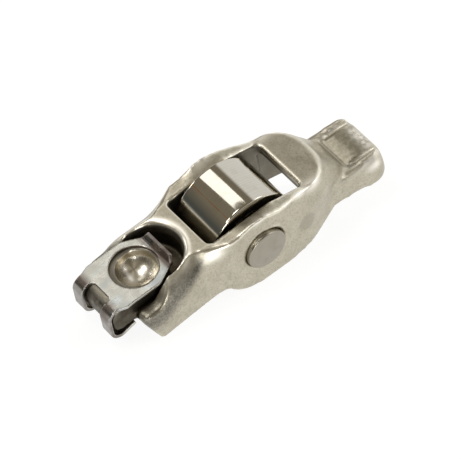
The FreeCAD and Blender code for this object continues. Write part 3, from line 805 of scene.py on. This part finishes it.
def bay_reach(along, across):
    """How far points lie from the middle of the bay: from its line, or from the centre of its round end."""
    return np.where(along > BAY_ALONG, np.hypot(along - BAY_ALONG, across), abs(across))


def mark_share(points, margin=0.0):
    """1 on the round mark of the hardness test, low on the near side, and on a margin round it."""
    along, across, up = arm_axes(points)
    distance = np.hypot(along - MARK_ALONG, up - MARK_UP) - margin
    return step_up(distance, *MARK_EDGE) * (across < 0)


def soft_share(points):
    """Where the casting is softest: beside the bay, at the valve end's root, on the head and the guides."""
    along, across, up = arm_axes(points)
    beside = within((abs(across), BESIDE_ACROSS), (along, BESIDE_ALONG), (up, SHOULDER_UP))
    root = within((along, ROOT_START), (along, ROOT_END), (up, ROOT_UP))
    head = within((along, HEAD_ALONG), (abs(across), HEAD_ACROSS), (up, SHOULDER_UP))
    head *= 1 - mark_share(points, MARK_MARGIN)
    guide_ends = within((along, GUIDE_START), (along, GUIDE_END), (abs(across), GUIDE_ACROSS))
    return np.maximum.reduce([beside, root, head, guide_ends])


def painted_sheen_share(points):
    """Painted sheen: bright patches on both sides of the casting, and along the rim of the bay."""
    along, across, up = arm_axes(points)
    share = np.zeros(len(points))
    for (x, y, z), (reach_x, reach_y, reach_z) in PAINTED_SHEEN_PATCHES:
        away = ((along / MM - x) / reach_x) ** 2 + ((abs(across) / MM - y) / reach_y) ** 2
        away += ((up / MM - z) / reach_z) ** 2
        share = np.maximum(share, np.exp(-away))
    rim = ((bay_reach(along, across) - RIM_REACH) / RIM_WIDTH) ** 2 + ((up - RIM_UP) / RIM_HEIGHT) ** 2
    return np.maximum(share, np.exp(-rim) * step_up(along, *RIM_START))


def shoulder_shade_share(points):
    """Painted shade: a dark band below the bay's rims, on the outer shoulders of the walls."""
    along, across, up = arm_axes(points)
    middle = np.interp(along, SHOULDER_SHADE_ALONG, SHOULDER_SHADE_UP)
    half = np.interp(along, SHOULDER_SHADE_ALONG, SHOULDER_SHADE_HALF)
    band = np.exp(-(((up - middle) / half) ** 2))
    return band * step_up(abs(across), *SHOULDER_SHADE_ACROSS) * step_up(along, *SHOULDER_SHADE_END)


def star_reflection_share(points):
    """Painted reflection: bright lobes in the ball seat."""
    along, across, _ = arm_axes(points)
    angle = np.arctan2(across - STAR_ACROSS, along - STAR_ALONG)
    return 0.5 + 0.5 * np.cos(STAR_LOBES * (angle - STAR_ANGLE))


def worn_highlight_share(points):
    """How much the edges are worn and carry a painted highlight: fully round the bay, the window and the
    plateau, and less elsewhere.
    """
    along, _, up = arm_axes(points)
    return WORN_HIGHLIT_LEAST + (1 - WORN_HIGHLIT_LEAST) * within((up, WORN_HIGHLIT_UP), (along, WORN_HIGHLIT_ALONG))


def pad_share(points, normals):
    """1 on the worn valve pad, which looks up between its guides."""
    along, across, _ = arm_axes(points)
    level = normals @ np.array(ARM_UP)
    return within((level, PAD_LEVEL), (along, PAD_START), (abs(across), PAD_EDGE))


def recess_share(points):
    """How dark with dirt and shade the bay, the window, the head's hollow and the socket's land are."""
    places = arm_axes(points)
    shades = (bay_shade, window_shade, hollow_shade, land_shade)
    return np.maximum.reduce([shade(*places) for shade in shades])


def bay_shade(along, across, up):
    """The floor and the walls of the bay, outside the boss of the socket."""
    share = step_up(bay_reach(along, across), BAY_RADIUS + BAY_EDGE, BAY_RADIUS)
    return share * (np.hypot(along, across) > BOSS_RADIUS) * step_up(up, *BAY_UP)


def window_shade(along, across, up):
    """The walls of the roller's window, which are lighter towards the valve end."""
    share = (abs(across) < WINDOW_HALF) * step_up(along, *WINDOW_START)
    share *= step_up(along, *WINDOW_END) * step_up(up, *FLAT_EDGE)
    return share * np.interp(along, WINDOW_ALONG, WINDOW_SHADE)


def hollow_shade(along, across, up):
    """The walls of the hollow under the head, behind the roller's window."""
    half = np.interp(along, HOLLOW_ALONG, HOLLOW_HALF)
    share = (abs(across) < half) * step_up(along, *HOLLOW_START) * (along < HOLLOW_ALONG[1])
    return share * (HOLLOW_SHADE * step_up(up, *HOLLOW_UP))


def land_shade(along, across, up):
    """The boss's top round the socket's mouth, in the shade of the clip."""
    distance = np.hypot(along, across)
    share = step_up(distance, *LAND_START) * (distance < BOSS_RADIUS + LAND_MARGIN)
    return share * (step_up(up, *LAND_LOW) * step_up(up, *LAND_HIGH) * LAND_SHADE)


def clip_browning_and_hole_shade(points):
    """How dark each point of the clip is: browned on the legs in front and the lip behind, and painted
    shade on the wall of the hole.
    """
    along, across, _ = arm_axes(points)
    front = FRONT_BROWN * step_up(along, *CLIP_FRONT)
    lip = step_up(along, *CLIP_LIP)
    hole_shade = step_up(np.hypot(along + CLIP_HOLE_BACK, across), *CLIP_HOLE_SHADE)
    return np.maximum.reduce([front, lip, hole_shade])


# Pieces
def make_arm(material):
    """The cast arm, with the soft edges of a casting."""
    item = remeshed(copy_of("arm", "cast_arm"), CAST_VOXEL)
    write_points(item.data, slope_ears(points_of(item.data)))
    mesh = remeshed(item, CAST_VOXEL).data
    write_points(mesh, smooth(mesh, CAST_ROUNDS, CAST_KEEP))
    write_points(mesh, smooth(mesh, SOFT_ROUNDS, share=soft_share(points_of(mesh))))
    points, polish_and_reflection = cup_shape(points_of(mesh))
    write_points(mesh, points)
    shade_smooth(mesh)
    # Shares for the material, with painted sheen, shoulder shade, seat reflection, edge highlights and
    # corner shade
    shares = {
        "edge": edge_relief(mesh, CAST_EDGE_HEIGHT) * worn_highlight_share(points),
        "polish_and_reflection": polish_and_reflection,
        "recess": recess_share(points),
        "painted_sheen": painted_sheen_share(points),
        "painted_shoulder_shade": shoulder_shade_share(points),
        "star_reflection": star_reflection_share(points),
        "mark": mark_share(points),
        "pad": pad_share(points, normals_of(mesh)),
    }
    write_attributes(mesh, shares)
    return finish_piece(item, material, "arm", "cast_steel", "arm")


def make_clip(material):
    """The sheet steel clip, with the rolled edges of a stamping."""
    item = remeshed(copy_of("retaining_clip", "spring_clip"), CLIP_VOXEL)
    mesh = item.data
    write_points(mesh, smooth(mesh, CLIP_ROUNDS, CLIP_KEEP))
    shade_smooth(mesh)
    # The clip's shares: edges with a painted highlight, and browned bends with painted shade on the hole's
    # wall
    write_attributes(mesh, {"edge": edge_relief(mesh, CLIP_EDGE_HEIGHT), "browning_and_hole_shade": clip_browning_and_hole_shade(points_of(mesh))})
    return finish_piece(item, material, "arm", "spring_steel", "retaining_clip")


def make_roller(material):
    """The cam roller: a ground ring with rounded rims and a lead-in at each end of its bore."""
    bore = ROLLER_RADIUS - ROLLER_WALL
    corners = [
        (bore, -ROLLER_HALF, BORE_RIM),
        (ROLLER_RADIUS, -ROLLER_HALF, ROLLER_RIM),
        (ROLLER_RADIUS, ROLLER_HALF, ROLLER_RIM),
        (bore, ROLLER_HALF, BORE_RIM),
    ]
    item = turned("cam_roller", rounded_profile(corners, steps=5), segments=160)
    return finish_piece(item, material, "roller", "ground_steel", "roller")


def make_pin(material):
    """The axle pin, with a rounded rim at each end that catches the light."""
    corners = [
        (0.0, -PIN_HALF, 0),
        (PIN_RADIUS, -PIN_HALF, PIN_RIM),
        (PIN_RADIUS, PIN_HALF, PIN_RIM),
        (0.0, PIN_HALF, 0),
    ]
    item = turned("staked_pin", rounded_profile(corners, steps=4), segments=128)
    return finish_piece(item, material, "arm", "pin_steel", "axle_pin")


def make_needles(material):
    """The full ring of needles, each a plain cylinder, from one node tree."""
    names = sorted(name for name in frame["nodes"] if name.startswith("needle_"))
    low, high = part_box(names[0])
    sizes = {
        "Count": len(names),
        "Orbit": (low.x + high.x) / 2 - AXLE.x,
        "Radius": (high.z - low.z) / 2,
        "Length": high.y - low.y,
        "Finish": material,
    }
    item = link("needle_ring", bpy.data.meshes.new("needle_ring"))
    modifier = item.modifiers.new("NeedleRing", "NODES")
    modifier.node_group = needle_tree()
    for socket in modifier.node_group.interface.items_tree:
        if socket.in_out == "INPUT":
            modifier[socket.identifier] = sizes[socket.name]
    applied(item)
    write_points(item.data, points_of(item.data) + np.array(AXLE))
    shade_smooth(item.data)
    item.data.set_sharp_from_angle(angle=NEEDLE_SHARP)
    return finish_piece(item, material, "needles", "needle_steel", *names)


def needle_tree():
    """Geometry nodes: a ring of points about Y carries one needle each."""
    tree = bpy.data.node_groups.new("NeedleRing", "GeometryNodeTree")
    for name, kind in (
        ("Count", "NodeSocketInt"),
        ("Orbit", "NodeSocketFloat"),
        ("Radius", "NodeSocketFloat"),
        ("Length", "NodeSocketFloat"),
        ("Finish", "NodeSocketMaterial"),
    ):
        tree.interface.new_socket(name, in_out="INPUT", socket_type=kind)
    tree.interface.new_socket("Geometry", in_out="OUTPUT", socket_type="NodeSocketGeometry")
    nodes, links = tree.nodes, tree.links
    given = nodes.new("NodeGroupInput")
    result = nodes.new("NodeGroupOutput")

    ring = nodes.new("GeometryNodeMeshCircle")
    links.new(given.outputs["Count"], ring.inputs["Vertices"])
    links.new(given.outputs["Orbit"], ring.inputs["Radius"])
    needle = nodes.new("GeometryNodeMeshCylinder")
    needle.inputs["Vertices"].default_value = NEEDLE_SIDES
    links.new(given.outputs["Radius"], needle.inputs["Radius"])
    links.new(given.outputs["Length"], needle.inputs["Depth"])

    carry = nodes.new("GeometryNodeInstanceOnPoints")
    links.new(laid_down(nodes, links, ring), carry.inputs["Points"])
    links.new(laid_down(nodes, links, needle), carry.inputs["Instance"])
    realize = nodes.new("GeometryNodeRealizeInstances")
    links.new(carry.outputs["Instances"], realize.inputs["Geometry"])
    coat = nodes.new("GeometryNodeSetMaterial")
    links.new(realize.outputs["Geometry"], coat.inputs["Geometry"])
    links.new(given.outputs["Finish"], coat.inputs["Material"])
    links.new(coat.outputs["Geometry"], result.inputs["Geometry"])
    return tree


def laid_down(nodes, links, shape):
    """A node's mesh turned so that its axis lies along Y."""
    turn = nodes.new("GeometryNodeTransform")
    turn.inputs["Rotation"].default_value = (math.radians(90), 0, 0)
    links.new(shape.outputs["Mesh"], turn.inputs["Geometry"])
    return turn.outputs["Geometry"]


def finish_piece(item, material, body, slot, *nodes):
    """Give a piece its material and body, in place of CAD nodes; the slot is not used."""
    item.data.materials.clear()
    item.data.materials.append(material)
    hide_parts(*nodes)
    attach(item, body)
    return item


def make_pieces():
    """Every piece, in place of its CAD nodes."""
    make_arm(cast_steel())
    make_clip(spring_steel())
    make_roller(ground_steel())
    make_pin(pin_steel())
    make_needles(needle_steel())


# Studio
def add_camera():
    """The camera, at the photograph's viewing angle."""
    back = Vector(
        (
            math.sin(CAMERA_AZIMUTH) * math.cos(CAMERA_ELEVATION),
            -math.cos(CAMERA_AZIMUTH) * math.cos(CAMERA_ELEVATION),
            math.sin(CAMERA_ELEVATION),
        )
    )
    lens = bpy.data.cameras.new("camera")
    lens.sensor_width = SENSOR_WIDTH
    lens.lens = CAMERA_LENS
    lens.clip_start = 0.05
    lens.clip_end = 20
    item = link("camera", lens)
    item.location = CAMERA_TARGET + back * CAMERA_DISTANCE
    item.rotation_mode = "QUATERNION"
    item.rotation_quaternion = back.to_track_quat("Z", "Y") @ Quaternion((0, 0, 1), CAMERA_ROLL)
    bpy.context.scene.camera = item


def add_floor():
    """A plain pale floor under the lowest point, which keeps a faint shadow."""
    low, high = -FLOOR_HALF, FLOOR_HALF
    level = cad_box[0][2]
    mesh = bpy.data.meshes.new("floor")
    corners = [(low, low, level), (high, low, level), (high, high, level), (low, high, level)]
    mesh.from_pydata(corners, [], [(0, 1, 2, 3)])
    mesh.materials.append(floor_white())
    item = link("floor", mesh)


def floor_white():
    """A pale matt floor that also glows where it is looked at."""
    material = bpy.data.materials.new("floor_white")
    material.use_nodes = True
    nodes, links = material.node_tree.nodes, material.node_tree.links
    nodes.clear()
    plain = nodes.new("ShaderNodeBsdfDiffuse")
    plain.inputs["Color"].default_value = FLOOR_COLOUR
    glow = nodes.new("ShaderNodeEmission")
    glow.inputs["Color"].default_value = (*WHITE, 1)
    glow.inputs["Strength"].default_value = FLOOR_GLOW
    mix = nodes.new("ShaderNodeMixShader")
    links.new(product(nodes, links, straight_rays(nodes, links), FLOOR_GLOW_SHARE), mix.inputs["Fac"])
    links.new(plain.outputs["BSDF"], mix.inputs[1])
    links.new(glow.outputs["Emission"], mix.inputs[2])
    output = nodes.new("ShaderNodeOutputMaterial")
    links.new(mix.outputs["Shader"], output.inputs["Surface"])
    return material


def straight_rays(nodes, links):
    """1 for rays from the camera, off metal or through glass, and 0 for the rest."""
    path = nodes.new("ShaderNodeLightPath")
    both = maths(nodes, links, "MAXIMUM", path.outputs["Is Camera Ray"], path.outputs["Is Glossy Ray"])
    return maths(nodes, links, "MAXIMUM", both, path.outputs["Is Transmission Ray"])


def add_world():
    """A white surround; above the horizon the metal sees a dark studio, but for the valve end's side."""
    world = bpy.data.worlds.new("studio")
    bpy.context.scene.world = world
    world.use_nodes = True
    nodes, links = world.node_tree.nodes, world.node_tree.links
    nodes.clear()
    coordinates = nodes.new("ShaderNodeTexCoord")
    parts = nodes.new("ShaderNodeSeparateXYZ")
    links.new(coordinates.outputs["Generated"], parts.inputs["Vector"])
    high = ramp(nodes, links, parts.outputs["Z"], 0.0, 0.14)
    away = ramp(nodes, links, parts.outputs["X"], 0.42, 0.50, to=(1, 0))
    path = nodes.new("ShaderNodeLightPath")
    unseen = remainder(nodes, links, path.outputs["Is Camera Ray"])
    dark = product(nodes, links, product(nodes, links, high, away), unseen)
    height = ramp(nodes, links, parts.outputs["Z"], 0.25, 0.6)
    shade = blend(nodes, links, height, DARK_LOW, DARK_HIGH)
    background = nodes.new("ShaderNodeBackground")
    links.new(blend(nodes, links, dark, WHITE, shade), background.inputs["Color"])
    output = nodes.new("ShaderNodeOutputWorld")
    links.new(background.outputs["Background"], output.inputs["Surface"])


def add_softbox(name, direction, width, height, power):
    """A soft box light that faces the arm from a direction."""
    light = bpy.data.lights.new(name, "AREA")
    light.shape = "RECTANGLE"
    light.size = width * SOFTBOX_DISTANCE
    light.size_y = height * SOFTBOX_DISTANCE
    light.energy = power
    item = link(name, light)
    towards = Vector(direction).normalized()
    item.location = CAMERA_TARGET + towards * SOFTBOX_DISTANCE
    item.rotation_mode = "QUATERNION"
    item.rotation_quaternion = towards.to_track_quat("Z", "Y")


def add_studio():
    """Floor, surround and soft boxes."""
    add_floor()
    add_world()
    for softbox in SOFTBOXES:
        add_softbox(*softbox)
    bpy.context.scene.view_settings.view_transform = "Standard"


make_pieces()
add_camera()
add_studio()
